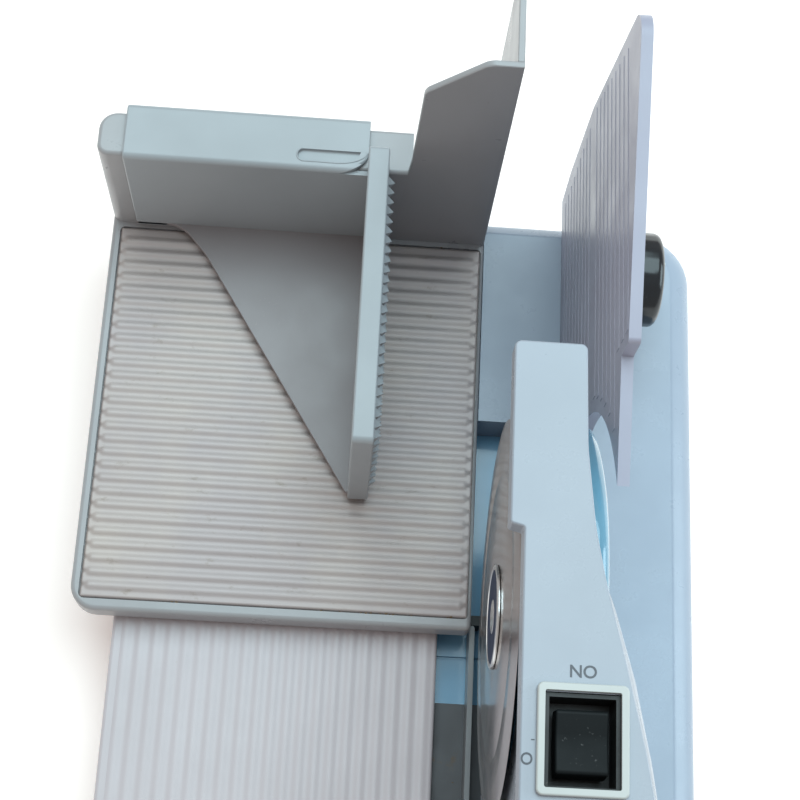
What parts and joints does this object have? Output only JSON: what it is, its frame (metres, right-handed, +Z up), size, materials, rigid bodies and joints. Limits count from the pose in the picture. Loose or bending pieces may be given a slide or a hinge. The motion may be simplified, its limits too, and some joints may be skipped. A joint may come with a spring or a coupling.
{
  "type": "electric food slicer",
  "caption": "Household electric food slicer: round upright blade under a housing arm, sliding ribbed tray with toothed pusher, thickness plate with knob, rocker switch.",
  "frame": {"origin": "middle of the footprint, on the table", "axes": "+Z up; the operator stands at -Y and pushes the carriage towards +Y; the carriage is on the +X side of the blade and the thickness plate on the -X side; the blade turns about X"},
  "size_m": [0.34, 0.422, 0.3061],
  "materials": {
    "shell_white": "satin moulded ABS",
    "cover_grey": "moulded",
    "rubber": "matte",
    "screw_steel": "zinc plated",
    "rail_grey": "moulded",
    "black_plastic": "fine grain",
    "bezel_cream": "satin",
    "rocker_black": "satin",
    "stator_steel": "laminated",
    "bronze": "sintered bush",
    "bracket_metal": "grey",
    "shaft_steel": "ground",
    "blade_steel": "polished",
    "badge_silver": "silvered",
    "gear_nylon": "nylon",
    "gauge_grey": "satin moulded",
    "carriage_grey": "satin moulded",
    "pusher_blue_grey": "satin moulded",
    "tray_steel": "pressed stainless",
    "knob_black": "polished"
  },
  "bodies": {
    "base": {"base_shell": "shell_white", "bottom_cover": "cover_grey", "foot_front_left": "rubber", "foot_front_right": "rubber", "foot_rear_left": "rubber", "foot_rear_right": "rubber", "cover_screw_front_left": "screw_steel", "cover_screw_front_right": "screw_steel", "cover_screw_rear_left": "screw_steel", "cover_screw_rear_right": "screw_steel", "slide_rail": "rail_grey", "rail_stop": "rubber", "motor_housing": "shell_white", "power_inlet": "black_plastic", "switch_bezel": "bezel_cream", "switch_body": "black_plastic", "motor_stator": "stator_steel", "motor_bearing_front": "bronze", "motor_bearing_rear": "bronze", "motor_bracket": "bracket_metal", "blade_spindle": "shaft_steel", "guide_rod_front": "shaft_steel", "guide_rod_rear": "shaft_steel", "gauge_bracket": "rail_grey"},
    "motor": {"motor_rotor": "shaft_steel"},
    "blade": {"blade": "blade_steel", "blade_badge": "badge_silver", "blade_gear": "gear_nylon"},
    "gauge": {"gauge_plate": "gauge_grey", "gauge_carrier": "rail_grey"},
    "knob": {"thickness_knob": "knob_black", "knob_gear": "gear_nylon"},
    "idler": {"idler_gear": "gear_nylon"},
    "screw": {"lead_screw": "shaft_steel"},
    "carriage": {"carriage_frame": "carriage_grey", "tray_insert": "tray_steel", "glide_pad_front": "black_plastic", "glide_pad_rear": "black_plastic"},
    "pusher": {"pusher": "pusher_blue_grey"},
    "switch": {"switch_rocker": "rocker_black"}
  },
  "joints": [
    {"name": "blade_spin", "type": "hinge", "parent": "base", "child": "blade", "pos_m": [-0.049, 0.0844, 0.156], "axis": [1, 0, 0], "continuous": true},
    {"name": "motor_spin", "type": "hinge", "parent": "base", "child": "motor", "pos_m": [-0.0795, 0.1, 0.1126], "axis": [0, 1, 0], "continuous": true},
    {"name": "knob_turn", "type": "hinge", "parent": "base", "child": "knob", "pos_m": [-0.128, -0.121, 0.104], "axis": [1, 0, 0], "range_deg": [0, 350]},
    {"name": "gauge_slide", "type": "slide", "parent": "base", "child": "gauge", "axis": [1, 0, 0], "range_m": [0, 0.04]},
    {"name": "idler_turn", "type": "hinge", "parent": "base", "child": "idler", "pos_m": [-0.1067, -0.107, 0.0696], "axis": [1, 0, 0], "range_deg": [-660, 0]},
    {"name": "screw_turn", "type": "hinge", "parent": "base", "child": "screw", "pos_m": [-0.1067, -0.097, 0.0465], "axis": [1, 0, 0], "range_deg": [0, 715]},
    {"name": "carriage_slide", "type": "slide", "parent": "base", "child": "carriage", "axis": [0, 1, 0], "range_m": [-0.012, 0.2]},
    {"name": "pusher_slide", "type": "slide", "parent": "carriage", "child": "pusher", "axis": [-1, 0, 0], "range_m": [-0.06, 0.01]},
    {"name": "switch_rock", "type": "hinge", "parent": "base", "child": "switch", "pos_m": [-0.0725, 0.1585, 0.268], "axis": [1, 0, 0], "range_deg": [-8, 8]}
  ],
  "couplings": [
    {"joint": "motor_spin", "follows": "blade_spin", "ratio": 30},
    {"joint": "knob_turn", "follows": "gauge_slide", "rad_per_m": 152.7},
    {"joint": "idler_turn", "follows": "gauge_slide", "rad_per_m": -286.3},
    {"joint": "screw_turn", "follows": "gauge_slide", "rad_per_m": 310.6}
  ]
}
